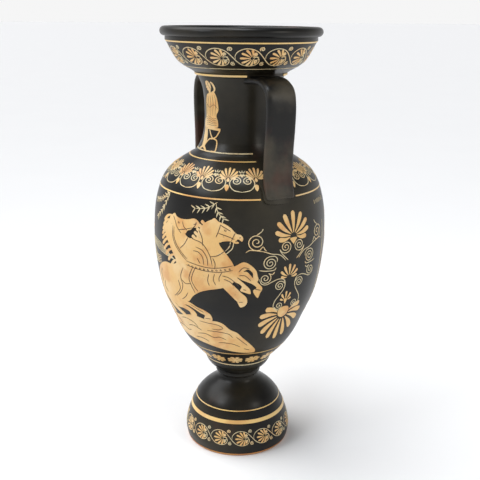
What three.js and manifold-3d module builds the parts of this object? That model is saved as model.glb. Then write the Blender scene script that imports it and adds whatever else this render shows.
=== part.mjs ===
// A tall two-handled pottery vase in the manner of an ancient Greek neck amphora: a bell-shaped hollow
// foot, a narrow stem, an ovoid body, a straight neck, a wide cup-shaped mouth with a rolled lip, and two
// flat strap handles from the neck to the shoulder. It is thrown in sections, luted together and fired as
// one solid. Millimetres, +Z up, origin at the centre of the underside, handles along X.
import * as THREE from "three";
import { mergeVertices } from "three/addons/utils/BufferGeometryUtils.js";
import Module from "manifold-3d";

const wasm = await Module();
wasm.setup();

// ---- Driving dimensions ----
const HEIGHT = 640;
const BASE_RADIUS = 79.5;
const FOOT_RADIUS = 83.2; // the foot swells a little above its edge
const STEM_RADIUS = 31;
const BELLY_RADIUS = 128.3;
const BELLY_HEIGHT = 350;
const NECK_RADIUS = 52.6;
const MOUTH_RADIUS = 107;
const LIP_ROLL = 6.5; // radius of the rolled lip
const WALL = 9;
const FLOOR_TOP = 138; // inside floor of the body
const FOOT_HOLLOW_TOP = 78; // roof of the hollow under the foot
const LIP_STEP = 1.4; // the band under the lip stands this proud of it

// ---- Facets: around the axis, and along each stretch of the profile ----
const ROUND_STEPS = 50;
const FOOT_STEPS = 10;
const BELLY_STEPS = 13;
const NECK_STEPS = 5;
const LIP_STEPS = 8;
const INSIDE_STEPS = 7;
const BEND_STEPS = 3;

const STRAP_WIDTH = 44;
const STRAP_THICKNESS = 11;
const STRAP_EDGE = 3; // rounding of the strap's long edges
const STRAP_STEPS = 22; // facets along the strap
const STRAP_SPREAD = 121.5; // greatest reach of the strap's outer face from the axis

const LIP_CENTRE = new THREE.Vector2(MOUTH_RADIUS + 2, HEIGHT - LIP_ROLL);
const COLOUR = 0x17140f;

// ---- Profile sections, each a smooth curve through [radius, height] points ----
function smooth(points, steps) {
  const curve = new THREE.SplineCurve(points.map(([r, z]) => new THREE.Vector2(r, z)));
  return curve.getPoints(steps);
}

function arc(centre, radius, fromDegrees, toDegrees, steps) {
  return Array.from({ length: steps + 1 }, (_, i) => {
    const angle = THREE.MathUtils.degToRad(fromDegrees + ((toDegrees - fromDegrees) * i) / steps);
    return new THREE.Vector2(centre.x + radius * Math.cos(angle), centre.y + radius * Math.sin(angle));
  });
}

function footHollow() {
  const roof = [[0, FOOT_HOLLOW_TOP], [26, 73], [46, 58], [60, 34], [BASE_RADIUS - WALL, 0]];
  return smooth(roof, INSIDE_STEPS - 1);
}

function footOutside() {
  return smooth([[BASE_RADIUS, 0], [BASE_RADIUS + 2, 5], [FOOT_RADIUS, 18], [80.3, 35], [74.8, 52],
    [68.5, 66], [61.5, 77], [52, 86.5], [41.5, 94.5], [33.8, 101.5], [STEM_RADIUS, 107.2]], FOOT_STEPS);
}

function stemRing() {
  const bead = [[STEM_RADIUS + 2.5, 109.5], [STEM_RADIUS + 4, 112.5], [STEM_RADIUS + 3.2, 116]];
  return smooth(bead, BEND_STEPS - 1);
}

function bodyOutside() {
  const collar = smooth([[37, 120.5], [44.8, 127], [49.8, 134.5], [53, 143.5]], BEND_STEPS);
  const belly = smooth([[64.5, 156], [77, 170.5], [89.5, 190], [101, 216.5], [115.5, 251.5], [123.5, 286.5],
    [127.7, 324.5], [BELLY_RADIUS, BELLY_HEIGHT], [125.7, 387], [118, 417.5], [109.2, 433.5], [99.4, 444]],
  BELLY_STEPS);
  const shoulder = smooth([[86.5, 453], [75, 460], [66.5, 464.8], [62.3, 469.7]], BEND_STEPS);
  return [...collar, ...belly, ...shoulder];
}

function neckOutside() {
  return smooth([[56.5, 481], [NECK_RADIUS, 501.5], [NECK_RADIUS, 534], [55.5, 556.5], [62, 572.5]],
    NECK_STEPS);
}

function mouthOutside() {
  const ring = [new THREE.Vector2(65.5, 574), new THREE.Vector2(66.3, 577.5)];
  const cup = smooth([[73, 581.5], [83.5, 587.5], [92.5, 595.5], [100, 607.5], [MOUTH_RADIUS, 620.5]],
    NECK_STEPS);
  const fascia = [622, 627].map((z) => new THREE.Vector2(MOUTH_RADIUS + LIP_STEP, z));
  return [...ring, ...cup, ...fascia];
}

function lip() {
  return arc(LIP_CENTRE, LIP_ROLL, -70, 200, LIP_STEPS); // from under the roll, over it, to its inner side
}

function inside() {
  const bore = NECK_RADIUS - WALL;
  const cup = smooth([[98, 622], [90, 609], [76, 597], [61, 587], [bore, 574]], BEND_STEPS + 1);
  const neck = smooth([[bore, 504], [47, 482], [57, 462], [78, 449], [100, 432]], NECK_STEPS - 1);
  const body = smooth([[111, 408], [BELLY_RADIUS - WALL, BELLY_HEIGHT], [114.5, 287], [101, 237], [80, 193],
    [57, 160], [33, 143]], INSIDE_STEPS);
  return [...cup, ...neck, ...body, new THREE.Vector2(0, FLOOR_TOP)];
}

function vesselGeometry() {
  const profile = [...footHollow(), ...footOutside(), ...stemRing(), ...bodyOutside(), ...neckOutside(),
    ...mouthOutside(), ...lip(), ...inside()];
  return new THREE.LatheGeometry(profile, ROUND_STEPS).rotateX(Math.PI / 2);
}

// ---- Strap handle: its side outline either side of a centreline, drawn out to the strap's width ----
function strapGeometry() {
  const half = STRAP_THICKNESS / 2;
  const reach = STRAP_SPREAD - half;
  const centreline = new THREE.SplineCurve(
    [[48, 570], [82, 571], [99.5, 567], [reach - 4, 557], [reach, 537], [reach - 1, 508], [reach - 3.5, 482],
      [reach - 4.5, 456], [reach - 3.5, 438], [116.3, 424], [119, 415.5]]
      .map(([r, z]) => new THREE.Vector2(r, z)),
  );
  const side = (sign) => Array.from({ length: STRAP_STEPS + 1 }, (_, i) => {
    const t = i / STRAP_STEPS;
    const along = centreline.getTangentAt(t);
    const across = new THREE.Vector2(along.y, -along.x);
    return centreline.getPointAt(t).add(across.multiplyScalar(sign * (half - STRAP_EDGE)));
  });
  const outline = new THREE.Shape([...side(1), ...side(-1).reverse()]);
  const strap = new THREE.ExtrudeGeometry(outline, {
    depth: STRAP_WIDTH - 2 * STRAP_EDGE, bevelEnabled: true, bevelThickness: STRAP_EDGE,
    bevelSize: STRAP_EDGE, bevelSegments: 2, curveSegments: 1,
  });
  return strap.translate(0, 0, STRAP_EDGE - STRAP_WIDTH / 2).rotateX(Math.PI / 2);
}

// ---- Joining the solids into one fired piece ----
function toSolid(geometry) {
  const bare = geometry.clone();
  bare.deleteAttribute("normal");
  bare.deleteAttribute("uv");
  const merged = mergeVertices(bare, 1e-3);
  return new wasm.Manifold(new wasm.Mesh({
    numProp: 3,
    vertProperties: merged.attributes.position.array,
    triVerts: new Uint32Array(merged.index.array),
  }));
}

function toGeometry(solid) {
  const mesh = solid.getMesh();
  const geometry = new THREE.BufferGeometry();
  geometry.setAttribute("position", new THREE.BufferAttribute(mesh.vertProperties, 3));
  geometry.setIndex(new THREE.BufferAttribute(mesh.triVerts, 1));
  geometry.computeVertexNormals();
  return geometry;
}

function vaseGeometry() {
  const strap = toSolid(strapGeometry());
  return toGeometry(toSolid(vesselGeometry()).add(strap).add(strap.rotate([0, 0, 180])));
}

const group = new THREE.Group();
const glaze = new THREE.MeshStandardMaterial({ color: COLOUR, roughness: 0.38, metalness: 0 });
const vase = new THREE.Mesh(vaseGeometry(), glaze);
vase.name = "vase";
group.add(vase);

export default group;
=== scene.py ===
import math
import random
from bisect import bisect_right

import bmesh
import bpy
from mathutils import Matrix, Vector
from mathutils.geometry import interpolate_bezier


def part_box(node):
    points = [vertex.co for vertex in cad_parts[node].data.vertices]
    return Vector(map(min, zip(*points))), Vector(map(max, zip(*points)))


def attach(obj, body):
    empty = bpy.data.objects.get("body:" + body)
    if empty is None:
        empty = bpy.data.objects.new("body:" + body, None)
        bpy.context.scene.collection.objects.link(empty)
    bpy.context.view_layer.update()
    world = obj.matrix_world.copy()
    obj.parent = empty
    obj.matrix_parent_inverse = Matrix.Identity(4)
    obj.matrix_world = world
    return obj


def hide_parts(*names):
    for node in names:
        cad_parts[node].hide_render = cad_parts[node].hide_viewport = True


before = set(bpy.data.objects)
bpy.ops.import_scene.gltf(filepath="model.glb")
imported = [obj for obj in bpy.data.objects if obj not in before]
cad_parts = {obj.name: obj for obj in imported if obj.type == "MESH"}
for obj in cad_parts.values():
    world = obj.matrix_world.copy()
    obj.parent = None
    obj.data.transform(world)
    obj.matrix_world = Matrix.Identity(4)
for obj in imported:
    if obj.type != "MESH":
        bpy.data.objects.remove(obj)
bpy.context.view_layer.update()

bl_info = {
    "name": "Painted Amphora",
    "version": (1, 0, 0),
    "blender": (4, 5, 0),
    "location": "View3D > Sidebar > Amphora",
    "description": "A thrown two-handled vase with ochre and cream slip painting on black",
    "category": "Add Mesh",
}

LOW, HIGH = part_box("vase")
DRAWN_HEIGHT = 640  # the drawings below are in millimetres of a vase this tall
MM = (HIGH[2] - LOW[2]) / DRAWN_HEIGHT

FRONT = -90  # degrees round the axis from the handle on +X
BACK = 90
HANDLES = (0, 180)


# ---- Settings that a user would change ----
def length(name, about, millimetres):
    return bpy.props.FloatProperty(name=name, description=about, default=millimetres * MM, unit="LENGTH",
                                   min=0)


def colour(name, about, rgb):
    return bpy.props.FloatVectorProperty(name=name, description=about, default=rgb, subtype="COLOR",
                                         min=0, max=1)


def angle(name, about, degrees):
    return bpy.props.FloatProperty(name=name, description=about, default=math.radians(degrees),
                                   subtype="ANGLE")


class AmphoraSizes(bpy.types.PropertyGroup):
    """Sizes of the clay and of the paint on it"""

    round_steps: bpy.props.IntProperty(
        name="Round steps", description="Facets round the body", default=224, min=32)
    strap_width: length("Strap width", "Width of a handle", 44)
    strap_thickness: length("Strap thickness", "Thickness of a handle", 11)
    paint_thickness: length("Paint thickness", "How far the slip paint stands off the wall", 0.22)
    ring_width: length("Ring width", "Width of a gold ring round the vase", 1.9)
    line_width: length("Line width", "Width of a cream scroll line", 1.15)
    contour_width: length("Contour width", "Width of a dark line inside a figure", 0.72)


class AmphoraColours(bpy.types.PropertyGroup):
    """Colours of the clay, the glaze and the paints"""

    black: colour("Black", "Black slip", (0.0042, 0.0038, 0.0032))
    olive: colour("Olive", "Thinner places in the black slip", (0.030, 0.025, 0.015))
    worn: colour("Worn", "Browned slip on the handles", (0.052, 0.044, 0.030))
    rubbed: colour("Rubbed", "Red-brown where the slip is rubbed", (0.085, 0.026, 0.016))
    buff: colour("Buff", "Palest ochre paint", (0.74, 0.52, 0.25))
    ochre: colour("Ochre", "Middle ochre paint", (0.71, 0.44, 0.16))
    orange: colour("Orange", "Deepest ochre paint", (0.60, 0.28, 0.08))
    cream: colour("Cream", "Cream scroll lines", (0.62, 0.52, 0.31))
    gold: colour("Gold", "Gold rings", (0.80, 0.54, 0.19))
    contour: colour("Contour", "Dark drawing on the figures", (0.050, 0.026, 0.012))
    clay: colour("Clay", "Bare fired clay", (0.52, 0.22, 0.08))


class AmphoraStage(bpy.types.PropertyGroup):
    """Camera and floor"""

    camera_distance: bpy.props.FloatProperty(
        name="Camera distance", description="From the vase's axis", default=1.1, unit="LENGTH")
    camera_height: bpy.props.FloatProperty(
        name="Camera height", description="Above the floor", default=0.655, unit="LENGTH")
    camera_azimuth: angle("Camera azimuth", "Round the vase from its front", 62.5)
    camera_pitch: angle("Camera pitch", "Down from level", 16.68)
    camera_roll: angle("Camera roll", "Tilt of the horizon", 0.6)
    lens: bpy.props.FloatProperty(
        name="Lens", description="Focal length", default=56.3, subtype="DISTANCE_CAMERA")
    floor_size: bpy.props.FloatProperty(
        name="Floor size", description="Side of the floor", default=120.0, unit="LENGTH")


# ---- Lines, and the outside of the vase ----
def smooth(points, steps=6, closed=False):
    """Points of a curve that runs evenly through the given ones."""
    knots = [Vector(point) for point in points]
    count = len(knots)
    path = []
    for i in range(count if closed else count - 1):
        here = knots[i]
        following = knots[(i + 1) % count]
        before = knots[i - 1] if closed or i else here
        after = knots[(i + 2) % count] if closed or i + 2 < count else following
        out = here + (following - before) / 6
        back = following - (after - here) / 6
        path += interpolate_bezier(here, out, back, following, steps + 1)[:-1]
    if not closed:
        path.append(knots[-1])
    return path


def circle_arc(centre, radius, start, end, steps):
    """Points of an arc, with its angles in degrees."""
    turns = [math.radians(start + (end - start) * i / steps) for i in range(steps + 1)]
    return [Vector(centre) + radius * Vector((math.cos(turn), math.sin(turn))) for turn in turns]


def foot_hollow():
    return smooth([(0, 78), (26, 73), (46, 58), (60, 34), (70.5, 0)])


def foot_outside():
    skirt = smooth([(79.5, 0), (81.5, 5), (83.2, 18), (80.3, 35), (74.8, 52), (68.5, 66), (61.5, 77),
                    (52, 86.5), (41.5, 94.5), (33.8, 101.5), (31, 107.2)])
    ring = smooth([(33.5, 109.5), (35, 112.5), (34.2, 116)])
    return skirt + ring


def body_outside():
    collar = smooth([(37, 120.5), (44.8, 127), (49.8, 134.5), (53, 143.5)])
    belly = smooth([(64.5, 156), (77, 170.5), (89.5, 190), (101, 216.5), (115.5, 251.5), (123.5, 286.5),
                    (127.7, 324.5), (128.3, 350), (125.7, 387), (118, 417.5), (109.2, 433.5),
                    (99.4, 444)], steps=9)
    shoulder = smooth([(86.5, 453), (75, 460), (66.5, 464.8), (62.3, 469.7)])
    return collar + belly + shoulder


def neck_outside():
    return smooth([(56.5, 481), (52.6, 501.5), (52.6, 534), (55.5, 556.5), (62, 572.5)], steps=8)


def mouth_outside():
    fillet = [Vector((65.5, 574)), Vector((66.3, 577.5))]
    cup = smooth([(73, 581.5), (83.5, 587.5), (92.5, 595.5), (100, 607.5), (107, 620.5)])
    fascia = [Vector((108.4, 622)), Vector((108.4, 627))]
    return fillet + cup + fascia


def lip():
    return circle_arc((109, 633.5), 6.5, -70, 200, 28)


def inside():
    cup = smooth([(98, 622), (90, 609), (76, 597), (61, 587), (43.6, 574)])
    neck = smooth([(43.6, 504), (47, 482), (57, 462), (78, 449), (100, 432)])
    body = smooth([(111, 408), (119.3, 350), (114.5, 287), (101, 237), (80, 193), (57, 160), (33, 143)])
    return cup + neck + body + [Vector((0, 138))]


class Wall:
    """The outside of the vase as one line from foot to mouth, for laying flat drawings on."""

    def __init__(self):
        self.line = foot_outside() + body_outside() + neck_outside() + mouth_outside()
        self.heights = [point.y for point in self.line]
        self.arcs = [0.0]
        for before, after in zip(self.line, self.line[1:]):
            self.arcs.append(self.arcs[-1] + (after - before).length)

    def arc_at(self, height):
        """Distance up the wall from the foot's edge to a height."""
        i = min(max(bisect_right(self.heights, height), 1), len(self.line) - 1)
        share = (height - self.heights[i - 1]) / max(self.heights[i] - self.heights[i - 1], 1e-6)
        return self.arcs[i - 1] + share * (self.arcs[i] - self.arcs[i - 1])

    def spot(self, arc, lift):
        """Radius and height of a point at that distance up the wall, standing off it by lift."""
        i = min(max(bisect_right(self.arcs, arc), 1), len(self.line) - 1)
        along = (self.line[i] - self.line[i - 1]).normalized()
        return self.line[i - 1] + along * (arc - self.arcs[i - 1]) + Vector((along.y, -along.x)) * lift


WALL = Wall()


# ---- Flat drawings that are laid on the wall ----
BEND = 5  # a drawing is cut this often, in millimetres, so that it bends with the wall
SINK = 0.25  # how far paint reaches into the wall
LEVEL = 0.035  # step from one layer of paint to the next


def even(width):
    return lambda t: width


def tapered(width, ends=0.35, run=0.15):
    """A brush line that thins towards both its ends."""
    return lambda t: width * (ends + (1 - ends) * min(1, t / run, (1 - t) / run))


def pointed(width):
    """A leaf that is widest a third of the way along."""
    return lambda t: max(0.08, width * math.sin(math.pi * t ** 0.7))


def club(width, base=0.16):
    """A petal that swells towards a round tip."""
    def at(t):
        swell = base + (1 - base) * math.sin(min(t / 0.78, 1) * math.pi / 2) ** 1.5
        tip = math.sqrt(max(0, 1 - max(0, (t - 0.78) / 0.22) ** 2))
        return max(0.08, width * swell * tip)
    return at


class Drawing:
    """Flat shapes in millimetres: x runs round the vase, y up it, and z is how far the paint stands off."""

    def __init__(self, thickness=None):
        self.flat = bmesh.new()
        self.top = (thickness or settings_sizes().paint_thickness) / MM
        self.place = Matrix.Identity(3)

    def move(self, x=0, y=0, turn=0, scale=1, mirror=False):
        """Later shapes are turned, scaled or mirrored, and moved to this place."""
        flip = Matrix.Diagonal((-1 if mirror else 1, 1, 1))
        size = Matrix.Diagonal((scale, scale, 1))
        shift = Matrix(((1, 0, x), (0, 1, y), (0, 0, 1)))
        self.place = shift @ Matrix.Rotation(math.radians(turn), 3, "Z") @ size @ flip
        return self

    def _set(self, vert, point, level):
        spot = self.place @ Vector((point.x, point.y, 1))
        vert.co = (spot.x, spot.y, self.top + level * LEVEL)

    def fill(self, outline, level=0, steps=5):
        """A patch with a smooth closed outline."""
        edge = smooth(outline, steps, closed=True)
        rim = bmesh.ops.create_circle(self.flat, cap_ends=True, segments=len(edge), radius=1)["verts"]
        for vert, point in zip(rim, edge):
            self._set(vert, point, level)

    def stroke(self, path, width, level=0):
        """A flat line along a path. Width tells how wide it is, from 0 at its start to 1 at its end."""
        count = len(path)
        strip = bmesh.ops.create_grid(self.flat, x_segments=count - 1, y_segments=1, size=1)["verts"]
        for i, point in enumerate(path):
            ahead = path[min(i + 1, count - 1)] - path[max(i - 1, 0)]
            across = ahead.orthogonal().normalized() * width(i / (count - 1)) / 2
            self._set(strip[i], point + across, level)
            self._set(strip[count + i], point - across, level)

    def line(self, points, width=None, level=0, steps=5):
        """A brush line of even look through the points."""
        self.stroke(smooth(points, steps), tapered(width or settings_sizes().line_width / MM), level)

    def petal(self, base, tip, width, curl=0, level=0):
        """A club-shaped petal from base to tip, bowed sideways by curl."""
        base, tip = Vector(base), Vector(tip)
        bow = (base + tip) / 2 + (tip - base).orthogonal() * curl
        self.stroke(smooth([base, bow, tip], 6), club(width), level)

    def leaf(self, base, tip, width, level=0):
        path = smooth([base, (Vector(base) + Vector(tip)) / 2, tip], 4)
        self.stroke(path, pointed(width), level)

    def spiral(self, centre, outer, start, turns, width=None, tail=(), level=0):
        """A line that winds out of the centre and ends at the outer radius, then runs on through the tail."""
        steps = max(8, int(abs(turns) * 18))
        curl = []
        for i in range(steps + 1):
            share = i / steps
            turn = math.radians(start) + turns * 2 * math.pi * (share - 1)
            reach = outer * (0.10 + 0.90 * share)
            curl.append(Vector(centre) + reach * Vector((math.cos(turn), math.sin(turn))))
        if tail:
            curl = curl[:-1] + smooth([curl[-1], *tail], 5)
        self.stroke(curl, tapered(width or settings_sizes().line_width / MM, 0.5, 0.06), level)

    def palmette(self, centre, count, first, last, inner, sides, middle, width, level=0):
        """A fan of petals from the first angle to the last, longest in the middle."""
        for i in range(count):
            share = i / (count - 1)
            turn = math.radians(first + (last - first) * share)
            out = Vector((math.cos(turn), math.sin(turn)))
            reach = sides + (middle - sides) * math.sin(math.pi * share) ** 0.8
            curl = 0.10 * (share - 0.5) * 2
            self.petal(Vector(centre) + out * inner, Vector(centre) + out * reach, width, curl, level)

    def thicken(self):
        """Cuts the flat shapes so that they bend, and makes each a closed layer."""
        flat = self.flat
        bmesh.ops.triangulate(flat, faces=[face for face in flat.faces if len(face.verts) > 4])
        for axis in (0, 1):
            places = [vert.co[axis] for vert in flat.verts]
            normal = Vector((1, 0, 0)) if axis == 0 else Vector((0, 1, 0))
            for step in range(math.floor(min(places) / BEND) + 1, math.ceil(max(places) / BEND)):
                geom = flat.verts[:] + flat.edges[:] + flat.faces[:]
                bmesh.ops.bisect_plane(flat, geom=geom, plane_co=normal * step * BEND, plane_no=normal)
        grown = bmesh.ops.extrude_face_region(flat, geom=flat.faces[:], use_keep_orig=True)["geom"]
        for vert in grown:
            if isinstance(vert, bmesh.types.BMVert):
                vert.co.z = -SINK

    def lay(self, name, base, radius, angles, material, climb=True):
        """Bends the drawing round the wall, once at each angle: x by the radius, y from the base height.
        With climb, y runs along the wall's slope. Without it, y is height."""
        self.thicken()
        foot = WALL.arc_at(base)
        for vert in self.flat.verts:
            x, y, lift = vert.co
            spot = WALL.spot(foot + y if climb else WALL.arc_at(base + y), lift)
            turn = x / radius
            vert.co = Vector((spot.x * math.cos(turn), spot.x * math.sin(turn), spot.y)) * MM
        bmesh.ops.recalc_face_normals(self.flat, faces=self.flat.faces)
        one = bpy.data.meshes.new(name)
        self.flat.to_mesh(one)
        self.flat.clear()
        for degrees in angles:
            first = len(self.flat.verts)
            self.flat.from_mesh(one)
            self.flat.verts.ensure_lookup_table()
            bmesh.ops.rotate(self.flat, verts=self.flat.verts[first:], cent=(0, 0, 0),
                             matrix=Matrix.Rotation(math.radians(degrees), 3, "Z"))
        return finish_piece(name, self.flat, material, angle_limit=35)


# ---- Finished pieces ----
def settings_sizes():
    return bpy.context.scene.amphora_sizes


def settings_colours():
    return bpy.context.scene.amphora_colours


def finish_piece(name, shape, material, angle_limit=180):
    """Makes an object of the shape with the given material, and lets it ride on the vase."""
    mesh = bpy.data.meshes.new(name)
    shape.to_mesh(mesh)
    shape.free()
    mesh.materials.append(material)
    mesh.shade_smooth()
    mesh.set_sharp_from_angle(angle=math.radians(angle_limit))
    piece = bpy.data.objects.new(name, mesh)
    bpy.context.scene.collection.objects.link(piece)
    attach(piece, "root")
    return piece


# ---- Materials: a number in one is written as arithmetic ----
class Value:
    """A number that varies over a surface. Arithmetic on it adds Math nodes."""

    def __init__(self, finish, socket):
        self.finish = finish
        self.socket = socket

    def math(self, operation, *others):
        return self.finish.node("ShaderNodeMath", {"operation": operation}, dict(enumerate(others)))

    def __add__(self, other):
        return self.math("ADD", self, other)

    def __mul__(self, other):
        return self.math("MULTIPLY", self, other)

    __radd__ = __add__
    __rmul__ = __mul__


class Finish:
    """A procedural material on object coordinates."""

    def __init__(self, name, **uniform):
        self.material = bpy.data.materials.new(name)
        self.material.use_nodes = True
        self.tree = self.material.node_tree
        self.tree.nodes.clear()
        self.shader = self.tree.nodes.new("ShaderNodeBsdfPrincipled")
        output = self.tree.nodes.new("ShaderNodeOutputMaterial")
        self.tree.links.new(self.shader.outputs[0], output.inputs[0])
        for socket, value in uniform.items():
            self.feed(self.shader.inputs[socket.replace("_", " ").title()], value)

    def feed(self, socket, value):
        if isinstance(value, Value):
            self.tree.links.new(value.socket, socket)
        elif hasattr(value, "__len__") and len(value) == 3 and len(socket.default_value) == 4:
            socket.default_value = (*value, 1)
        else:
            socket.default_value = value

    def node(self, kind, settings, inputs, output=0):
        """Any node: its type, its settings, then the values or links of its sockets."""
        node = self.tree.nodes.new(kind)
        for key, value in settings.items():
            setattr(node, key, value)
        for key, value in inputs.items():
            self.feed(node.inputs[key], value)
        return Value(self, node.outputs[output])

    def place(self, stretch=(1, 1, 1)):
        here = self.node("ShaderNodeTexCoord", {}, {}, "Object")
        return self.node("ShaderNodeMapping", {}, {"Vector": here, "Scale": stretch})

    def noise(self, scale, detail=3, stretch=(1, 1, 1)):
        inputs = {"Vector": self.place(stretch), "Scale": scale, "Detail": detail}
        return self.node("ShaderNodeTexNoise", {}, inputs)

    def between(self, value, low, high):
        """0 below low, 1 above high, and smooth between."""
        return self.node("ShaderNodeMapRange", {"interpolation_type": "SMOOTHSTEP"},
                         {"Value": value, "From Min": low, "From Max": high})

    def mix(self, factor, first, second):
        return self.node("ShaderNodeMix", {"data_type": "RGBA"}, {0: factor, 6: first, 7: second}, 2)

    def sheen(self, level):
        """How strongly the surface mirrors light, where 0.5 is an ordinary glaze."""
        self.feed(self.shader.inputs["Specular IOR Level"], level)

    def look(self, base, roughness, height=None, depth=0.0002, strength=0.5):
        self.feed(self.shader.inputs["Base Color"], base)
        self.feed(self.shader.inputs["Roughness"], roughness)
        if height:
            bump = self.node("ShaderNodeBump", {},
                             {"Height": height, "Distance": depth, "Strength": strength})
            self.feed(self.shader.inputs["Normal"], bump)
        return self.material


def made_once(maker):
    """Keeps a material after it is first made."""
    def keep():
        name = maker.__name__.replace("_", " ")
        return bpy.data.materials.get(name) or maker(name)
    return keep


@made_once
def black_slip(name):
    """Black slip, thin and olive in places, rubbed to red-brown in a few, with the turning marks under it."""
    tint = settings_colours()
    slip = Finish(name)
    slip.sheen(0.24)
    cloud = slip.between(slip.noise(6, 5), 0.42, 0.68)
    rub = slip.between(slip.noise(11, 5, (1, 1, 0.5)), 0.60, 0.78) * slip.between(slip.noise(60, 3), 0.3, 0.7)
    base = slip.mix(rub * 0.75, slip.mix(cloud, tint.black, tint.olive), tint.rubbed)
    turning = slip.noise(160, 2, (0.03, 0.03, 1))
    grain = slip.noise(420, 3)
    rough = 0.27 + 0.14 * slip.noise(16, 4) + 0.10 * rub
    return slip.look(base, rough, turning * 0.75 + grain * 0.35, 0.0003, 0.55)


@made_once
def worn_slip(name):
    """The slip of the handles: browner from use, with red-brown places where hands took them."""
    tint = settings_colours()
    slip = Finish(name)
    slip.sheen(0.30)
    cloud = slip.between(slip.noise(14, 5), 0.40, 0.62)
    rub = slip.between(slip.noise(13, 5), 0.52, 0.70)
    base = slip.mix(rub * 0.5, slip.mix(cloud, tint.black, tint.worn), tint.rubbed)
    strokes = slip.noise(90, 3, (1, 1, 0.12))
    return slip.look(base, 0.36 + 0.16 * cloud, strokes * 0.6 + slip.noise(420, 3) * 0.4, 0.0003, 0.5)


@made_once
def ochre_paint(name):
    """Brushed ochre, from pale buff to orange, a little thin in places."""
    tint = settings_colours()
    paint = Finish(name)
    warm = paint.between(paint.noise(24, 3), 0.34, 0.60)
    deep = paint.between(paint.noise(38, 4), 0.48, 0.70)
    base = paint.mix(deep * 0.75, paint.mix(warm, tint.buff, tint.ochre), tint.orange)
    thin = paint.between(paint.noise(240, 4), 0.62, 0.85)
    base = paint.mix(thin * 0.35, base, tint.contour)
    return paint.look(base, 0.42 + 0.15 * thin, paint.noise(500, 3), 0.0001)


@made_once
def cream_line(name):
    """Cream line paint that breaks up where the brush ran dry."""
    tint = settings_colours()
    paint = Finish(name)
    dry = paint.between(paint.noise(180, 4), 0.50, 0.80)
    warm = paint.between(paint.noise(30, 2), 0.45, 0.65)
    base = paint.mix(dry * 0.6, paint.mix(warm, tint.cream, tint.buff), tint.olive)
    return paint.look(base, 0.45 + 0.15 * dry, paint.noise(600, 2), 0.0001)


@made_once
def gold_line(name):
    """Gold ring paint, yellow to orange along its length."""
    tint = settings_colours()
    paint = Finish(name, coat_weight=0.3, coat_roughness=0.25)
    deep = paint.between(paint.noise(13, 3), 0.50, 0.68)
    pale = paint.between(paint.noise(20, 3), 0.50, 0.70)
    base = paint.mix(deep * 0.8, paint.mix(pale, tint.gold, tint.buff), tint.orange)
    return paint.look(base, 0.36 + 0.10 * pale, paint.noise(400, 2), 0.0001)


@made_once
def contour_line(name):
    """Dark drawing on the ochre."""
    tint = settings_colours()
    paint = Finish(name)
    thin = paint.between(paint.noise(120, 3), 0.45, 0.75)
    return paint.look(paint.mix(thin * 0.5, tint.contour, tint.rubbed), 0.5 + 0.1 * thin)


@made_once
def bare_clay(name):
    """Fired clay that shows at the foot's edge."""
    tint = settings_colours()
    clay = Finish(name)
    cloud = clay.between(clay.noise(40, 4), 0.4, 0.7)
    return clay.look(clay.mix(cloud, tint.clay, tint.orange), 0.62 + 0.1 * cloud, clay.noise(500, 3), 0.0003)


# ---- The clay ----
def throw_vessel():
    """Spins the whole profile, foot hollow, outside, lip and inside, into one closed shell."""
    profile = foot_hollow() + WALL.line + lip() + inside()
    shell = bmesh.new()
    chain = [shell.verts.new((point.x * MM, 0, point.y * MM)) for point in profile]
    edges = [shell.edges.new(pair) for pair in zip(chain, chain[1:])]
    bmesh.ops.spin(shell, geom=chain + edges, cent=(0, 0, 0), axis=(0, 0, 1), angle=2 * math.pi,
                   steps=settings_sizes().round_steps, use_merge=True)
    bmesh.ops.remove_doubles(shell, verts=shell.verts, dist=0.01 * MM)
    bmesh.ops.recalc_face_normals(shell, faces=shell.faces)
    vessel = finish_piece("vessel", shell, black_slip(), angle_limit=32)
    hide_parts("vase")


STRAP_LINE = [(48, 570), (82, 571), (99.5, 567), (112, 557), (116, 537), (115, 508), (112.5, 482),
              (111.5, 456), (112.5, 438), (116.3, 424), (119, 415.5)]
STRAP_STATIONS = 72
SECTION_STEPS = 40


def strap_section(turn, width, thickness):
    """A point round a flat section with full, round edges."""
    squareness = 0.30
    x = math.copysign(abs(math.cos(turn)) ** squareness, math.cos(turn)) * width / 2
    y = math.copysign(abs(math.sin(turn)) ** 0.75, math.sin(turn)) * thickness / 2
    return x, y


def pull_handle(name, degrees):
    """One strap handle: a flat section drawn along the strap's line, flared where it is luted on."""
    line = smooth(STRAP_LINE, 10)
    width = settings_sizes().strap_width / MM
    thickness = settings_sizes().strap_thickness / MM
    strap = bmesh.new()
    skin = bmesh.ops.create_grid(strap, x_segments=SECTION_STEPS, y_segments=STRAP_STATIONS, size=1)["verts"]
    for row in range(STRAP_STATIONS + 1):
        share = row / STRAP_STATIONS
        i = min(int(share * (len(line) - 1)), len(line) - 2)
        spot = line[i].lerp(line[i + 1], share * (len(line) - 1) - i)
        along = (line[i + 1] - line[i]).normalized()
        root = max(0, 1 - share / 0.10)
        toe = max(0, (share - 0.93) / 0.07)
        wide = width * (1 + 0.22 * root ** 2 - 0.10 * toe ** 3)
        thick = thickness * (1 + 0.30 * root ** 2 - 0.25 * toe ** 2)
        for column in range(SECTION_STEPS + 1):
            across, out = strap_section(2 * math.pi * column / SECTION_STEPS, wide, thick)
            place = spot + Vector((-along.y, along.x)) * out
            skin[row * (SECTION_STEPS + 1) + column].co = Vector((place.x, across, place.y)) * MM
    bmesh.ops.remove_doubles(strap, verts=strap.verts, dist=0.02 * MM)
    bmesh.ops.holes_fill(strap, edges=[edge for edge in strap.edges if edge.is_boundary])
    bmesh.ops.recalc_face_normals(strap, faces=strap.faces)
    bmesh.ops.rotate(strap, verts=strap.verts, cent=(0, 0, 0),
                     matrix=Matrix.Rotation(math.radians(degrees), 3, "Z"))
    finish_piece(name, strap, worn_slip(), angle_limit=50)


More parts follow.
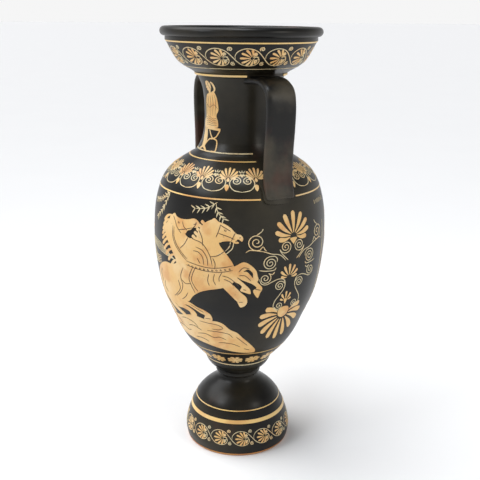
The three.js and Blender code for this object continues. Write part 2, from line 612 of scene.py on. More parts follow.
def lute_pad(name, degrees):
    """The lip of clay pressed round the lower end of a strap."""
    pad = Drawing(thickness=3.2 * MM)
    pad.fill([(-23, 26), (-24, 10), (-23, -2), (-17, -7), (0, -8.5), (17, -7), (23, -2), (24, 10), (23, 26)])
    piece = pad.lay(name, 417, 113, [degrees], black_slip())
    soften = piece.modifiers.new("soft edge", "BEVEL")
    soften.width = 1.3 * MM
    soften.segments = 3
    soften.limit_method = "ANGLE"
    soften.angle_limit = math.radians(40)


# ---- Bands that run round the vase ----
def arc_line(low, high, radius, every=3):
    """A level line from one angle to another, laid out flat."""
    count = max(2, round((high - low) / every))
    return [Vector((math.radians(low + (high - low) * i / count) * radius, 0)) for i in range(count + 1)]


def ring(name, height, radius, width, material, gap=None, thickness=None):
    """A painted ring. A gap is the degrees it leaves free before and after each handle."""
    band = Drawing(thickness)
    before, after = gap or (0, 0)
    spans = [(after, 180 - before), (180 + after, 360 - before)]
    for low, high in spans:
        band.stroke(arc_line(low, high, radius), even(width))
    return band.lay(name, height, radius, [0], material)


def scroll_unit(lines, petals, pitch, rise):
    """One turn of the running scroll round a palmette that lies on its side, one pitch wide."""
    grow = pitch / 39.4
    for drawing in (lines, petals):
        drawing.move(-19 * grow, rise, scale=grow)
    lines.line([(-0.6, 17), (-0.8, 22), (3, 28), (11, 32), (20, 31.6), (28, 27.5), (36, 18.5), (41, 12.5),
                (47, 7.5), (55, 5), (62, 5.6), (67.5, 9), (69.6, 14), (68, 18.6), (64.6, 20), (62.6, 17.8)])
    lines.spiral((32.6, 31.6), 3.4, 230, 1.6)
    lines.spiral((35, 8.6), 3.5, 60, -1.6)
    lines.spiral((25.2, 23.8), 2.5, 200, 1.4)
    lines.spiral((25.8, 13.6), 2.5, 160, -1.4)
    for side in (-1, 1):
        lines.line([(21.5, 18 + side * 1.2), (25.5, 18 + side * 2.6), (29.5, 18 + side * 1.6)], 0.7)
    petals.palmette((21.5, 18), 9, 68, 292, 2.6, 9.6, 16.6, 3.1)


BAND_REPEATS = 15


def evenly_round(start):
    """The angles of a band's repeats, spaced evenly round the vase."""
    return [start + 360 / BAND_REPEATS * i for i in range(BAND_REPEATS)]


def scroll_band(name, base, radius, rise, start):
    """A running scroll with a palmette in each turn, all the way round."""
    lines, petals = Drawing(), Drawing()
    scroll_unit(lines, petals, 2 * math.pi * radius / BAND_REPEATS, rise)
    places = evenly_round(start)
    lines.lay(name + "_lines", base, radius, places, cream_line())
    petals.lay(name + "_palmettes", base, radius, places, ochre_paint())


LYRE_STEP = 21.4  # degrees from one lyre of the shoulder band to the next


def lyre(lines):
    """A U-shaped stem that ends in two inward spirals, with a bud and a heart over it."""
    for mirror in (False, True):
        lines.move(mirror=mirror)
        lines.spiral((7.2, 29), 6.4, 80, -1.7, tail=[(12.4, 33), (15.2, 27), (14, 20.5), (9, 14.8),
                                                     (0, 12.6)])
        lines.leaf((0.6, 40.5), (4.2, 37.0), 3.0)
        lines.leaf((1.4, 42.5), (4.6, 47.5), 1.6)
    lines.move()
    lines.leaf((0, 35), (0, 40.5), 3.2)
    lines.leaf((0, 43), (0, 48.5), 1.5)


def shoulder_band():
    """Fans of petals standing between lyres, on the front and on the back, stopping at the handles."""
    lyres, fans = Drawing(), Drawing()
    lyre(lyres)
    fans.palmette((0, 32), 9, 12, 168, 3, 9.8, 21.5, 3.3)
    fans.leaf((0, 27.5), (0, 34.5), 4.0)
    fans.leaf((-0.5, 23.5), (-0.5, 13.5), 5.2)
    front = [FRONT + LYRE_STEP * i for i in range(-3, 4)]
    back = [BACK + LYRE_STEP * i for i in range(-3, 4)]
    lyres.lay("shoulder_lyres", 415, 95, front + back, cream_line())
    halves = [LYRE_STEP * (i - 3.5) for i in range(8)]
    between = [side + half for side in (FRONT, BACK) for half in halves]
    fans.lay("shoulder_palmettes", 415, 95, between, ochre_paint())


def flower_band():
    """Open flowers round the foot of the body."""
    places = evenly_round(-31.5)
    middle = 18
    flowers = Drawing()
    for i in range(8):
        turn = math.radians(45 * i + 22.5)
        tip = Vector((11.5 * math.cos(turn), middle + 11.5 * math.sin(turn)))
        flowers.petal((0, middle), tip, 5.2)
    flowers.fill([(3, middle), (0, 21.2), (-3, middle), (0, 14.8)], level=1)
    flowers.lay("flower_band", 140.6, 62, places, ochre_paint())
    hearts = Drawing()
    for i in range(8):
        turn = math.radians(45 * i)
        inner = (3 * math.cos(turn), middle + 3.6 * math.sin(turn))
        outer = (8 * math.cos(turn), middle + 10 * math.sin(turn))
        hearts.line([inner, outer], 0.5, level=2)
    hearts.lay("flower_band_contours", 140.6, 62, places, contour_line())


# ---- The ornament under each handle ----
def handle_ornament(petals, lines):
    """Three fans of petals one under another, on spirals, with tendrils to both sides."""
    petals.palmette((0, 363), 9, -6, 186, 5.5, 23.5, 36, 6.4)
    petals.fill([(-5.5, 360.5), (5.5, 360.5), (0.5, 352.5), (-0.5, 352.5)])
    petals.palmette((-4, 303), 7, 12, 168, 4, 13.5, 20.5, 3.6)
    petals.palmette((-5, 266), 5, 25, 155, 3.5, 10, 15.5, 3.1)
    petals.fill([(-7.5, 268.5), (-2.5, 268.5), (-4.8, 261)])
    petals.palmette((-4, 245), 11, 162, 378, 11, 33, 48, 8.2)
    petals.fill([(-13.5, 251), (-8.5, 256), (0.5, 256), (5.5, 251), (4, 242), (-4, 237.5), (-12, 242)])
    for mirror in (False, True):
        lines.move(x=-1, mirror=mirror)
        lines.spiral((-11, 349.5), 9.4, 195, -2.2, tail=[(-18, 342), (-11, 334), (-7, 330)])
        lines.spiral((-52, 360), 12, 290, 2.1, tail=[(-43.5, 353), (-41, 349), (-38.5, 346.5)])
        lines.line([(-66, 345.5), (-60, 349), (-44, 346.5), (-32, 342), (-22, 340), (-16, 336), (-11, 330)])
        lines.line([(-52, 370), (-46, 374), (-43.5, 378)])
        lines.spiral((-33, 328.5), 10.2, 80, -2.3, tail=[(-27, 338), (-23.5, 334), (-24, 329.5)])
        lines.line([(-48, 319), (-40, 317.5), (-28, 317.5), (-24.5, 321)])
        lines.spiral((-39, 306), 8.5, 60, 1.9)
        lines.line([(-35, 313.5), (-29.5, 311.5), (-26.2, 314.6)])
        lines.line([(-47.4, 306), (-44, 298.5), (-37, 296.5), (-29, 300), (-20, 303), (-12, 301.5),
                    (-9, 296)])
        lines.spiral((-17, 292), 7.8, 20, -2.0, tail=[(-10, 300), (-8.5, 294), (-10, 286), (-16, 277),
                                                        (-22, 268), (-23, 259), (-18, 252.5)])
        lines.spiral((-14, 259.5), 6.8, 190, -1.8, tail=[(-18, 252.5), (-12, 251.5)])


ORNAMENT_SWING = 8.5  # degrees that each ornament sits off its handle
ORNAMENT_RADIUS = 120  # of the body's side, where the ornaments are laid


def ornament_under_handles():
    petals, lines = Drawing(), Drawing()
    handle_ornament(petals, lines)
    places = [degrees + ORNAMENT_SWING for degrees in HANDLES]
    petals.lay("handle_palmettes", 0, ORNAMENT_RADIUS, places, ochre_paint(), climb=False)
    lines.lay("handle_tendrils", 0, ORNAMENT_RADIUS, places, cream_line(), climb=False)


# ---- The horse team on the front ----
TEAM_ANGLE = -60
TEAM_RADIUS = 120


def far_horse(paint):
    paint.fill([(20, 382), (28, 388), (36, 390), (44, 384), (44, 370), (42, 358), (48, 348), (54, 340),
                (60, 330), (62, 321), (52, 312), (34, 310), (20, 322), (10, 345), (12, 368)], level=0)
    paint.fill([(30, 385), (33, 391), (36.5, 391.5), (41, 387.5), (49, 385), (57, 380), (64, 372.5),
                (70, 370.5), (73, 366), (71.5, 361.5), (67, 364.5), (64.5, 362.5), (68, 359.5), (63, 358.5),
                (57, 361.5), (48, 361), (42, 359), (37, 364), (31, 374)], level=1)


def near_horse(paint):
    paint.fill([(-36, 380), (-22, 384), (-10, 368), (-3, 361), (8, 358.5), (20, 354), (28, 345), (33, 334),
                (40, 324), (54, 319), (66, 311), (62, 303), (50, 294), (38, 290), (25, 286.5), (12, 281),
                (0, 272), (-9, 262), (-22, 260), (-38, 252), (-52, 246), (-66, 250), (-80, 262), (-86, 278),
                (-80, 294), (-66, 306), (-50, 313), (-34, 314), (-24, 320), (-30, 332), (-38, 344),
                (-46, 354), (-48, 368)], level=2)
    paint.fill([(-38, 381), (-33, 387), (-28, 390), (-24, 386.5), (-16, 384.5), (-4, 385.5), (5, 388),
                (11, 386.5), (15, 381.5), (12, 376.5), (6, 375.5), (2, 372), (-3, 370), (-8, 364),
                (-18, 361), (-30, 366)], level=3)


def forelegs(paint):
    paint.fill([(60, 323), (66, 328), (74, 332), (82, 328.5), (90, 320), (92.5, 312), (94, 305), (91, 302),
                (87, 308), (86, 316), (80, 321.5), (75, 319), (70, 314), (60, 312)], level=0)
    paint.fill([(62, 315), (70, 316), (78, 318), (86, 309), (94, 300), (100, 292), (97, 284), (94.5, 277),
                (90, 282), (87.5, 289), (92, 293), (86, 299), (78, 303), (70, 307)], level=1)
    paint.fill([(54, 316), (62, 312), (70, 305), (78, 297), (83, 291), (84, 284), (77, 286), (70, 289.5),
                (72, 296), (64, 302), (54, 304)], level=3)
    paint.fill([(44, 303), (56, 302), (64, 294), (71, 286), (78, 279), (80, 271), (77, 265), (71, 262.5),
                (68, 267), (66.5, 272), (71, 273), (70, 279), (65, 287), (56, 292), (46, 293)], level=4)


def hind_legs(paint):
    paint.fill([(-30, 262), (-10, 260.5), (4, 255), (16, 251.5), (25, 245.5), (26.5, 236), (20, 233),
                (12.5, 236), (15, 243), (8, 245.5), (-2, 250.5), (-14, 254), (-30, 252)], level=3)
    paint.fill([(-46, 256), (-30, 254), (-14, 251.5), (-4, 247), (0, 240.5), (-4, 236), (-12, 238),
                (-14, 243), (-26, 245.5), (-40, 245)], level=1)
    paint.fill([(-62, 254), (-48, 250), (-38, 242), (-27, 236), (-22, 229), (-29, 226), (-36, 232),
                (-48, 237), (-60, 243)], level=2)
    paint.fill([(-84, 262), (-76, 252), (-72, 244), (-62, 238), (-58, 230), (-65, 228), (-74, 234),
                (-82, 242), (-88, 252)], level=1)


def mane(paint):
    """A notched mane down the near horse's neck, and a short one on the far horse."""
    for i in range(10):
        share = i / 9
        bow = Vector((-7 * math.sin(math.pi * share), 0))
        root = Vector((-38, 384)).lerp(Vector((-24, 322)), share) + bow
        tip = root + Vector((-13 - 5 * math.sin(math.pi * share), -9 - 3 * share))
        paint.petal(root + Vector((8, 3)), tip, 4.4, -0.14, level=1)
    for i in range(6):
        root = Vector((22 - 3.2 * i, 384 - 5.5 * i))
        paint.petal(root + Vector((6, -3)), root + Vector((-5, 3)), 4.6, 0.1, level=0)


def tail(lines):
    """Fine strands that blow out behind the near horse."""
    for i in range(5):
        lines.line([(-64, 318 - 2.5 * i), (-80, 316 - 3 * i), (-92, 324 - 4 * i), (-104, 338 - 6 * i)], 1.1)


def rocks(paint, lines):
    """Rocky ground that falls away to the right."""
    paint.fill([(-112, 214), (-98, 224), (-80, 229), (-60, 226), (-42, 229), (-26, 234), (-10, 238),
                (4, 237), (18, 234), (34, 234.5), (44, 230.5), (54, 221), (66, 215.5), (76, 206), (90, 194),
                (101, 184), (105, 179), (104, 174.5), (97, 174), (84, 174.5), (60, 177), (30, 182),
                (0, 187), (-30, 190), (-64, 192), (-98, 197)], level=0, steps=4)
    ledges = [[(-92, 216), (-78, 221), (-62, 218), (-52, 211)],
              [(-46, 223), (-30, 227), (-14, 224), (-6, 216)],
              [(2, 230), (18, 229), (34, 228), (42, 223), (34, 219), (22, 219)],
              [(-30, 214), (-16, 217), (0, 212)], [(12, 214), (30, 215), (50, 213), (58, 206)],
              [(-70, 206), (-52, 208), (-38, 204), (-28, 206)],
              [(-12, 204), (6, 207), (22, 203), (34, 205), (46, 201)],
              [(30, 194), (44, 195), (60, 193), (72, 188)], [(64, 208), (74, 200), (86, 191)],
              [(-20, 196), (-4, 197), (10, 193)], [(80, 184), (92, 181)],
              [(-90, 206), (-80, 202), (-72, 198)]]
    for ledge in ledges:
        lines.line(ledge, 0.9, level=6)


def horse_contours(lines):
    """Dark drawing on the horses: eyes, bridles, collars, girths and muscles."""
    for centre in ((-19, 379), (50, 376.5)):
        lines.spiral(centre, 1.7, 0, 1.0, 0.7, level=8)
    contours = [
        [(-30, 386), (-26, 380), (-22, 372), (-14, 364)], [(-4, 370), (-10, 375), (-12, 381)],
        [(3, 373), (8, 378), (10, 384)], [(6, 380), (11, 381.5)], [(-20, 368), (-8, 371), (4, 375)],
        [(38, 366), (41, 374), (44, 384)], [(58, 362), (61, 369), (63, 373)],
        [(41, 372), (52, 368.5), (62, 364.5)], [(63, 361), (67, 362.5)], [(68, 366.5), (70, 367.2)],
        [(44, 383), (50, 379.5), (57, 375.5)], [(-30, 372), (-30, 358), (-25, 346), (-16, 336), (-6, 327)],
        [(-27.5, 371), (-27.5, 358), (-22.5, 347), (-13.5, 337), (-4, 329)],
        [(-2, 361), (-8, 350), (-16, 342)], [(7, 359), (18, 356), (26, 347), (31, 336), (33, 324)],
        [(6, 343), (14, 342), (20, 335), (21, 325)], [(10, 349), (20, 345), (26, 335), (27, 324)],
        [(-6, 326), (10, 323), (28, 321), (46, 323), (61, 327)],
        [(-6, 320), (10, 317), (28, 315.5), (46, 316.5), (60, 320)],
        [(30, 338), (40, 340), (50, 348), (57, 358)], [(34, 336), (37, 328), (36, 320)],
        [(14, 374), (19, 363), (20, 352)], [(9, 319), (4, 309), (1, 299), (4, 290), (10, 282)],
        [(5, 319), (0, 309), (-3, 299), (0, 289), (5, 278)],
        [(-12, 314), (-18, 300), (-16, 286), (-22, 274), (-34, 264)],
        [(-24, 292), (-22, 280), (-30, 270), (-40, 262)], [(-66, 298), (-72, 288), (-70, 276)],
        [(-60, 262), (-66, 270), (-62, 280)], [(-8, 276), (-14, 268), (-22, 262)],
        [(46, 311), (54, 309), (62, 303), (68, 296)], [(48, 306), (56, 303), (61, 297)],
        [(28, 312), (26, 302), (28, 294)], [(36, 313), (34, 304), (37, 296)],
        [(46, 316), (42, 308), (42, 302)], [(68, 318), (74, 324), (82, 322)],
        [(68, 312), (76, 312), (84, 304)], [(88, 292), (94, 290), (98, 289)], [(74, 291), (78, 290)],
        [(68, 271), (74, 271)], [(-8, 257), (4, 252), (14, 248)], [(14, 238), (24, 238)],
        [(12, 333), (16, 326)], [(-2, 292), (-10, 290), (-16, 294)],
    ]
    for points in contours:
        lines.line(points, settings_sizes().contour_width / MM * 1.25, level=8)
    for i in range(11):
        x = -2 + 5.8 * i
        sag = 3.6 * math.sin(math.pi * (x + 2) / 64)
        lines.spiral((x, 320.5 - sag + 0.04 * x), 1.5, 0, 1.0, 0.7, level=8)


def reins(lines):
    """Reins that run from the collars back to the driver, and from the far horse's bit."""
    for i in range(6):
        lines.line([(-14, 321 - 1.3 * i), (-60, 326 + 2.4 * i), (-104, 334 + 1.2 * i)], 0.8, level=1)
    lines.line([(57, 361), (55, 353), (48, 346), (40, 341)], 1.1, level=1)
    lines.line([(61, 360), (59, 351), (51, 343)], 1.1, level=1)


def sprig(lines, start, end, bow, count, leaf=6.5):
    """A thin twig with leaves in pairs."""
    start, end = Vector(start), Vector(end)
    twig = smooth([start, (start + end) / 2 + (end - start).orthogonal() * bow, end], 8)
    lines.stroke(twig, tapered(0.9))
    for i in range(1, count + 1):
        spot = twig[int(i * (len(twig) - 1) / count)]
        along = (end - start).normalized()
        for side in (-1, 1):
            tip = spot + (along + along.orthogonal() * side * 0.9).normalized() * leaf
            lines.leaf(spot, tip, 1.6)


def paint_team():
    paint, contours, lines = Drawing(), Drawing(), Drawing()
    mane(paint)
    tail(lines)
    rocks(paint, contours)
    hind_legs(paint)
    far_horse(paint)
    near_horse(paint)
    forelegs(paint)
    horse_contours(contours)
    reins(lines)
    sprig(lines, (38, 413), (6, 402), 0.1, 5, 8)
    sprig(lines, (36, 411), (47, 392), -0.12, 4, 8)
    sprig(lines, (-48, 416), (-74, 376), 0.12, 9)
    sprig(lines, (-48, 416), (-88, 398), 0.1, 8)
    paint.lay("horse_team", 0, TEAM_RADIUS, [TEAM_ANGLE], ochre_paint(), climb=False)
    contours.lay("horse_team_contours", 0, TEAM_RADIUS, [TEAM_ANGLE], contour_line(), climb=False)
    lines.lay("reins_and_sprigs", 0, TEAM_RADIUS, [TEAM_ANGLE], cream_line(), climb=False)


# ---- Figures ----
def draped_figure(paint, contours, x, mirror=False, arm_up=True):
    """A standing figure in a long cloak, head in plain profile, one arm held out."""
    for drawing in (paint, contours):
        drawing.move(x=x, mirror=mirror)
    paint.fill([(-5, 377), (-1, 382), (5, 382.5), (9, 378), (9, 372), (6, 367), (6, 362), (-1, 362),
                (-1.5, 366), (-4.5, 368), (-4.5, 371), (-6.6, 373)], level=1)
    paint.fill([(-2, 364), (8, 364), (16, 356), (19, 338), (17, 318), (21, 292), (24, 262), (26, 240),
                (16, 237), (4, 239), (-10, 237), (-14, 242), (-10, 268), (-11, 296), (-9, 318), (-14, 336),
                (-12, 352)], level=0)
    if arm_up:
        paint.stroke(smooth([(-9, 350), (-22, 338), (-36, 344)], 6), tapered(7, 0.45, 0.5), 1)
    paint.fill([(-8, 240), (-6, 233), (-18, 230), (-19, 233)], level=1)
    paint.fill([(12, 240), (15, 233), (4, 230), (2, 233)], level=1)
    contours.line([(-1, 380), (2, 376), (1, 370), (5, 368)], 0.8, level=4)
    contours.line([(-3.2, 374.6), (-1.2, 374.8)], 0.8, level=4)
    for i in range(6):
        top = Vector((-8 + 4.6 * i, 352 - 2 * i))
        contours.line([top, (-7 + 4.2 * i, 318), (-10 + 5.0 * i, 285), (-10 + 6.0 * i, 243)], 0.75, level=4)
    for i in range(4):
        contours.line([(-11, 340 - 9 * i), (2, 330 - 10 * i), (17, 334 - 9 * i)], 0.75, level=4)


CHARIOT_ANGLE = -122
CHARIOT_LIFT = 12  # how far the car and its driver are raised from where they are drawn


def paint_chariot():
    """The rest of the front scene: a light car behind the horses, and its driver."""
    paint, contours, lines = Drawing(), Drawing(), Drawing()
    hub = Vector((0, 254))
    for reach in (22, 4):
        paint.stroke(circle_arc(hub, reach, 0, 360, 48), even(3.2), 2)
    for i in range(4):
        turn = math.pi / 4 + i * math.pi / 2
        out = Vector((math.cos(turn), math.sin(turn)))
        paint.stroke([hub + out * reach for reach in (4, 12, 21)], even(2.6), 1)
    paint.fill([(-16, 276), (16, 276), (20, 290), (27, 306), (23, 309), (14, 296), (-4, 284),
                (-20, 281)], level=3)
    lines.line([(18, 280), (32, 290), (46, 292)], 2.0, level=1)
    draped_figure(paint, contours, -4, mirror=True)
    paint.lay("chariot", CHARIOT_LIFT, TEAM_RADIUS, [CHARIOT_ANGLE], ochre_paint(), climb=False)
    contours.lay("chariot_contours", CHARIOT_LIFT, TEAM_RADIUS, [CHARIOT_ANGLE], contour_line(), climb=False)
    lines.lay("chariot_pole", CHARIOT_LIFT, TEAM_RADIUS, [CHARIOT_ANGLE], cream_line(), climb=False)


def paint_back():
    """The plainer back: two cloaked figures either side of a low altar, with sprigs over them."""
    paint, contours, lines = Drawing(), Drawing(), Drawing()
    draped_figure(paint, contours, 62)
    draped_figure(paint, contours, -62, mirror=True)
    for drawing in (paint, contours):
        drawing.move()
    paint.fill([(-20, 230), (20, 230), (20, 236), (14, 240), (14, 272), (20, 276), (20, 282), (-20, 282),
                (-20, 276), (-14, 272), (-14, 240), (-20, 236)], steps=2)
    for y in (240, 272, 277):
        contours.line([(-14, y), (0, y), (14, y)], 0.8, level=4)
    paint.stroke(smooth([(-100, 226), (-50, 228), (0, 226), (50, 228), (100, 226)], 8), even(4))
    sprig(lines, (0, 300), (0, 352), 0.02, 9, 9)
    sprig(lines, (10, 414), (44, 398), -0.1, 7)
    sprig(lines, (-10, 414), (-44, 398), 0.1, 7)
    for side in (-1, 1):
        lines.line([(side * 98, 238), (side * 97, 320), (side * 99, 372)], 1.6)
    paint.lay("back_figures", 0, TEAM_RADIUS, [BACK], ochre_paint(), climb=False)
    contours.lay("back_contours", 0, TEAM_RADIUS, [BACK], contour_line(), climb=False)
    lines.lay("back_sprigs", 0, TEAM_RADIUS, [BACK], cream_line(), climb=False)


NECK_RADIUS = 54  # of the neck, where its drawings are laid
NECK_FIGURE_ANGLE = -82
NECK_FIGURE_SCALE = 1.052
NECK_FIGURE_DROP = -24.5  # brings the enlarged figure back to its place on the neck


def neck_figure(paint, contours):
    """A cloaked figure on a folding stool, head in plain profile, one arm raised."""
    paint.fill([(-4.5, 555), (-3.6, 560), (0, 562.5), (4, 561.5), (6, 557), (5, 552), (3.4, 549), (3.6, 545),
                (-0.4, 545), (-0.8, 549), (-3.4, 549.8), (-3.4, 552), (-5.4, 553.4)], level=1)
    paint.fill([(-9, 541), (-4, 545), (4, 547), (9, 549), (13, 543), (15.5, 534), (16, 524), (12.5, 517),
                (15, 510), (15.5, 502), (8, 500.5), (-4, 500.5), (-17, 499), (-17.5, 508), (-13, 514),
                (-12, 524), (-12, 534)])
    paint.stroke(smooth([(8, 547), (12, 552), (10, 559), (7, 561)], 6), tapered(3.0, 0.5, 0.4), 1)
    paint.stroke(smooth([(-15, 505), (-12.5, 490), (-9.5, 478), (-8.5, 474)], 6), tapered(6.4, 0.5, 0.4), 1)
    paint.stroke(smooth([(-10, 503), (-7, 490), (-5.5, 478), (-6, 474)], 6), tapered(5.4, 0.5, 0.4), 0)
    paint.leaf((-4.5, 476), (-16, 470), 3.4, 1)
    paint.leaf((-7, 475), (3, 469.5), 3.2, 1)
    paint.stroke(smooth([(-6, 499), (8, 499), (20, 498.6)], 4), even(3.2), 2)
    paint.stroke(smooth([(-1, 497), (4, 490), (8, 486.5), (14, 485), (16.5, 482), (17.5, 471),
                         (11, 470)], 5), even(1.7), 1)
    paint.stroke(smooth([(19, 497), (14, 489), (8, 486), (2, 485), (-3, 480), (-4.5, 474)], 5), even(1.7), 2)
    contours.line([(4, 561), (1, 558), (2.5, 554), (5, 551)], 0.6, level=4)
    contours.line([(-2.6, 556), (-0.8, 556.2)], 0.7, level=4)
    for i in range(5):
        contours.line([(-8 + 4.6 * i, 541 + 0.8 * i), (-9 + 5.2 * i, 532), (-8 + 4.6 * i, 524),
                       (-9 + 4.8 * i, 516)], 0.5, level=4)
    for i in range(5):
        contours.line([(-14 + i, 512 - 2.2 * i), (-4, 515 - 2.8 * i), (6, 512 - 2.2 * i),
                       (14, 514 - 2.5 * i)], 0.5, level=4)
    contours.line([(-11, 533), (-2, 527), (8, 531), (15, 526)], 0.5, level=4)


def paint_neck():
    """The seated figure on the front of the neck, and a plain fan of petals on its back."""
    paint, contours = Drawing(), Drawing()
    for drawing in (paint, contours):
        drawing.move(0, NECK_FIGURE_DROP, scale=NECK_FIGURE_SCALE)
    neck_figure(paint, contours)
    paint.lay("neck_figure", 0, NECK_RADIUS, [NECK_FIGURE_ANGLE], ochre_paint(), climb=False)
    contours.lay("neck_figure_contours", 0, NECK_RADIUS, [NECK_FIGURE_ANGLE], contour_line(),
                 climb=False)
    fan, curls = Drawing(), Drawing()
    fan.palmette((0, 512), 9, -6, 186, 4, 20, 32, 7.0)
    for mirror in (False, True):
        curls.move(mirror=mirror)
        curls.spiral((9, 497), 7.5, 100, -2.2, tail=[(2, 500), (0, 492), (0, 484)])
    fan.lay("neck_back_palmette", 0, NECK_RADIUS, [BACK], ochre_paint(), climb=False)
    curls.lay("neck_back_curls", 0, NECK_RADIUS, [BACK], cream_line(), climb=False)


def paint_marks():
    """A short row of brush marks under the shoulder ring, where a painter would put a name."""
    marks = Drawing()
    rng = random.Random(7)
    for i in range(8):
        x = -16 + 4.4 * i
        lean = rng.uniform(-1.2, 1.6)
        marks.line([(x, 0), (x + lean, rng.uniform(5.5, 8))], 0.9)
    marks.lay("brush_marks", 399, 118, [40], cream_line())


# ---- The stage ----
def area_light(name, size, power, place, target=(0, 0, 0.34), tint=(1, 1, 1)):
    light = bpy.data.lights.new(name, "AREA")
    light.shape = "DISK"
    light.size = size
    light.energy = power
    light.color = tint
    lamp = bpy.data.objects.new(name, light)
    lamp.location = place
    lamp.rotation_euler = (Vector(target) - Vector(place)).to_track_quat("-Z", "Y").to_euler()
    bpy.context.scene.collection.objects.link(lamp)


def round_the_vase(azimuth, distance, height):
    """A place at that distance from the axis, seen from that azimuth."""
    return (distance * math.sin(math.radians(azimuth)), -distance * math.cos(math.radians(azimuth)), height)


SIDE_SHIFT = 0.0015  # of the picture's width, which brings the vase to its middle


def set_camera():
    stage = bpy.context.scene.amphora_stage
    lens = bpy.data.cameras.new("camera")
    lens.lens = stage.lens
    lens.sensor_width = 36
    lens.shift_x = SIDE_SHIFT
    camera = bpy.data.objects.new("camera", lens)
    camera.location = round_the_vase(math.degrees(stage.camera_azimuth), stage.camera_distance,
                                     stage.camera_height)
    turn = Matrix.Rotation(stage.camera_azimuth, 4, "Z")
    tilt = Matrix.Rotation(math.pi / 2 - stage.camera_pitch, 4, "X")
    roll = Matrix.Rotation(stage.camera_roll, 4, "Z")
    camera.rotation_euler = (turn @ tilt @ roll).to_euler()
    bpy.context.scene.collection.objects.link(camera)
    bpy.context.scene.camera = camera


def set_floor():
    tile = bmesh.new()
    side = bpy.context.scene.amphora_stage.floor_size
    bmesh.ops.create_grid(tile, x_segments=1, y_segments=1, size=side / 2)
    mesh = bpy.data.meshes.new("floor")
    tile.to_mesh(mesh)
    tile.free()
    pale = Finish("pale floor")
    mesh.materials.append(pale.look(pale.mix(pale.noise(3, 2), (0.86, 0.86, 0.865), (0.88, 0.88, 0.88)), 0.8))
    floor = bpy.data.objects.new("floor", mesh)
    bpy.context.scene.collection.objects.link(floor)


# How high up the studio, and how bright it is there
STUDIO = ((0.06, (0.92, 0.92, 0.92, 1)), (0.55, (0.20, 0.21, 0.23, 1)))


def set_world():
    """A studio that is bright low down, like a white sweep, and dimmer overhead."""
    world = bpy.data.worlds.new("pale studio")
    world.use_nodes = True
    nodes, links = world.node_tree.nodes, world.node_tree.links
    place = nodes.new("ShaderNodeTexCoord")
    split = nodes.new("ShaderNodeSeparateXYZ")
    climb = nodes.new("ShaderNodeValToRGB")
    for stop, (height, shade) in zip(climb.color_ramp.elements, STUDIO):
        stop.position = height
        stop.color = shade
    links.new(place.outputs["Generated"], split.inputs[0])
    links.new(split.outputs["Z"], climb.inputs[0])
    links.new(climb.outputs[0], nodes["Background"].inputs["Color"])
    bpy.context.scene.world = world


SUN_POWER = 2.8
SUN_SPREAD = 60  # degrees, wide enough for a soft shadow on the floor


def set_lights():
    """A broad soft sun from the upper left, and three soft boxes for the sheen."""
    bpy.context.scene.view_settings.view_transform = "Standard"
    sun = bpy.data.lights.new("sun", "SUN")
    sun.energy = SUN_POWER
    sun.angle = math.radians(SUN_SPREAD)
    lamp = bpy.data.objects.new("sun", sun)
    lamp.rotation_euler = Vector(round_the_vase(-45, -1, -1.7)).to_track_quat("-Z", "Y").to_euler()
    bpy.context.scene.collection.objects.link(lamp)
    area_light("left_box", size=0.5, power=7, place=round_the_vase(5, 1.5, 1.5), tint=(0.93, 0.96, 1))
    area_light("right_box", size=0.4, power=4, place=round_the_vase(118, 1.4, 1.1), tint=(1, 0.95, 0.86))
    area_light("top_box", size=0.3, power=5, place=round_the_vase(62, 0.35, 1.7), tint=(0.86, 0.93, 1))


# ---- Operators, one for each piece or group of like pieces ----
class AMPHORA_OT_vessel(bpy.types.Operator):
    """Throw the hollow vessel"""

    bl_idname = "amphora.vessel"
    bl_label = "Vessel"

    def execute(self, context):
        throw_vessel()
        ring("clay_edge", 2.2, 82, 3.4, bare_clay())
        return {"FINISHED"}


class AMPHORA_OT_handles(bpy.types.Operator):
    """Pull the two strap handles and lute them on"""

    bl_idname = "amphora.handles"
    bl_label = "Handles"

    def execute(self, context):
        for side, degrees in zip(("right", "left"), HANDLES):
            pull_handle("handle_" + side, degrees)
            lute_pad("handle_pad_" + side, degrees)
        return {"FINISHED"}


class AMPHORA_OT_rings(bpy.types.Operator):
    """Paint the gold and cream rings"""

    bl_idname = "amphora.rings"
    bl_label = "Rings"

    def execute(self, context):
        width = settings_sizes().ring_width / MM
        ring("ring_lip", 620.6, 107, width * 1.1, gold_line(), thickness=0.5 * MM)
        ring("ring_cup", 586.3, 83, 1.3, cream_line())
        ring("ring_neck_top", 575.8, 66, width * 1.4, gold_line(), gap=(20.5, 36), thickness=0.9 * MM)
        ring("ring_neck_base", 469.4, 62, width, cream_line(), gap=(11, 11))
        ring("ring_shoulder_top", 460.3, 75, width, gold_line(), gap=(10, 10))
        ring("ring_shoulder", 416.8, 118, width, gold_line(), gap=(13.5, 12.5))
        ring("ring_body_base", 171, 75, 1.5, gold_line())
        ring("ring_collar", 140.6, 52, 1.5, cream_line())
        ring("ring_foot_top", 69.5, 65, 1.5, gold_line())
        ring("ring_foot_band", 54.5, 72, 5.6, gold_line(), thickness=0.4 * MM)
        return {"FINISHED"}


class AMPHORA_OT_bands(bpy.types.Operator):
    """Paint the running bands on the mouth, the shoulder, the lower body and the foot"""

    bl_idname = "amphora.bands"
    bl_label = "Bands"

    def execute(self, context):
        scroll_band("mouth_scroll", 588, 94, rise=0, start=-20)
        scroll_band("foot_scroll", 9, 78, rise=6, start=-21)
        shoulder_band()
        flower_band()
        return {"FINISHED"}


class AMPHORA_OT_ornaments(bpy.types.Operator):
    """Paint the fans and tendrils under each handle"""

    bl_idname = "amphora.ornaments"
    bl_label = "Handle ornaments"

    def execute(self, context):
        ornament_under_handles()
        paint_marks()
        return {"FINISHED"}


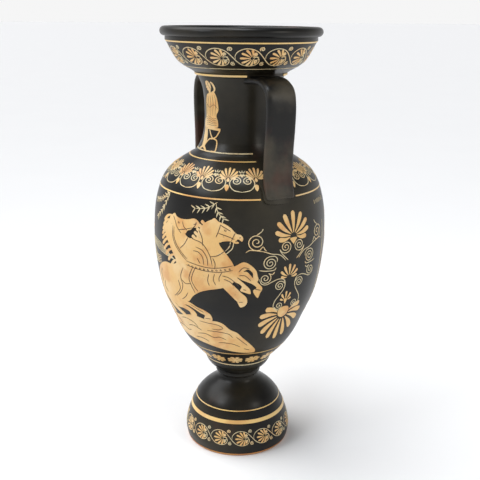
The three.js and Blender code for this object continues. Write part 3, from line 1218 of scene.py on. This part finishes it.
class AMPHORA_OT_team(bpy.types.Operator):
    """Paint the horse team, its ground, reins and sprigs"""

    bl_idname = "amphora.team"
    bl_label = "Horse team"

    def execute(self, context):
        paint_team()
        return {"FINISHED"}


class AMPHORA_OT_figures(bpy.types.Operator):
    """Paint the driver, the figures on the back and the figure on the neck"""

    bl_idname = "amphora.figures"
    bl_label = "Figures"

    def execute(self, context):
        paint_chariot()
        paint_back()
        paint_neck()
        return {"FINISHED"}


class AMPHORA_OT_stage(bpy.types.Operator):
    """Set the camera, the pale floor and the soft lights"""

    bl_idname = "amphora.stage"
    bl_label = "Stage"

    def execute(self, context):
        set_camera()
        set_floor()
        set_world()
        set_lights()
        return {"FINISHED"}


class AMPHORA_PT_panel(bpy.types.Panel):
    """The amphora's pieces, in the order they are made"""

    bl_idname = "AMPHORA_PT_panel"
    bl_label = "Amphora"
    bl_space_type = "VIEW_3D"
    bl_region_type = "UI"
    bl_category = "Amphora"

    def draw(self, context):
        for operator in OPERATORS:
            self.layout.operator(operator.bl_idname)
        scene = context.scene
        for group in (scene.amphora_sizes, scene.amphora_colours, scene.amphora_stage):
            for key in group.__annotations__:
                self.layout.prop(group, key)


OPERATORS = (AMPHORA_OT_stage, AMPHORA_OT_vessel, AMPHORA_OT_handles, AMPHORA_OT_rings, AMPHORA_OT_bands,
             AMPHORA_OT_ornaments, AMPHORA_OT_team, AMPHORA_OT_figures)
GROUPS = {"amphora_sizes": AmphoraSizes, "amphora_colours": AmphoraColours, "amphora_stage": AmphoraStage}


def register():
    for group in GROUPS.values():
        bpy.utils.register_class(group)
    for key, group in GROUPS.items():
        setattr(bpy.types.Scene, key, bpy.props.PointerProperty(type=group))
    for operator in OPERATORS:
        bpy.utils.register_class(operator)
    bpy.utils.register_class(AMPHORA_PT_panel)


def unregister():
    bpy.utils.unregister_class(AMPHORA_PT_panel)
    for operator in reversed(OPERATORS):
        bpy.utils.unregister_class(operator)
    for key, group in reversed(GROUPS.items()):
        delattr(bpy.types.Scene, key)
        bpy.utils.unregister_class(group)


def main():
    register()
    bpy.ops.amphora.stage()
    bpy.ops.amphora.vessel()
    bpy.ops.amphora.handles()
    bpy.ops.amphora.rings()
    bpy.ops.amphora.bands()
    bpy.ops.amphora.ornaments()
    bpy.ops.amphora.team()
    bpy.ops.amphora.figures()


if __name__ == "__main__":
    main()
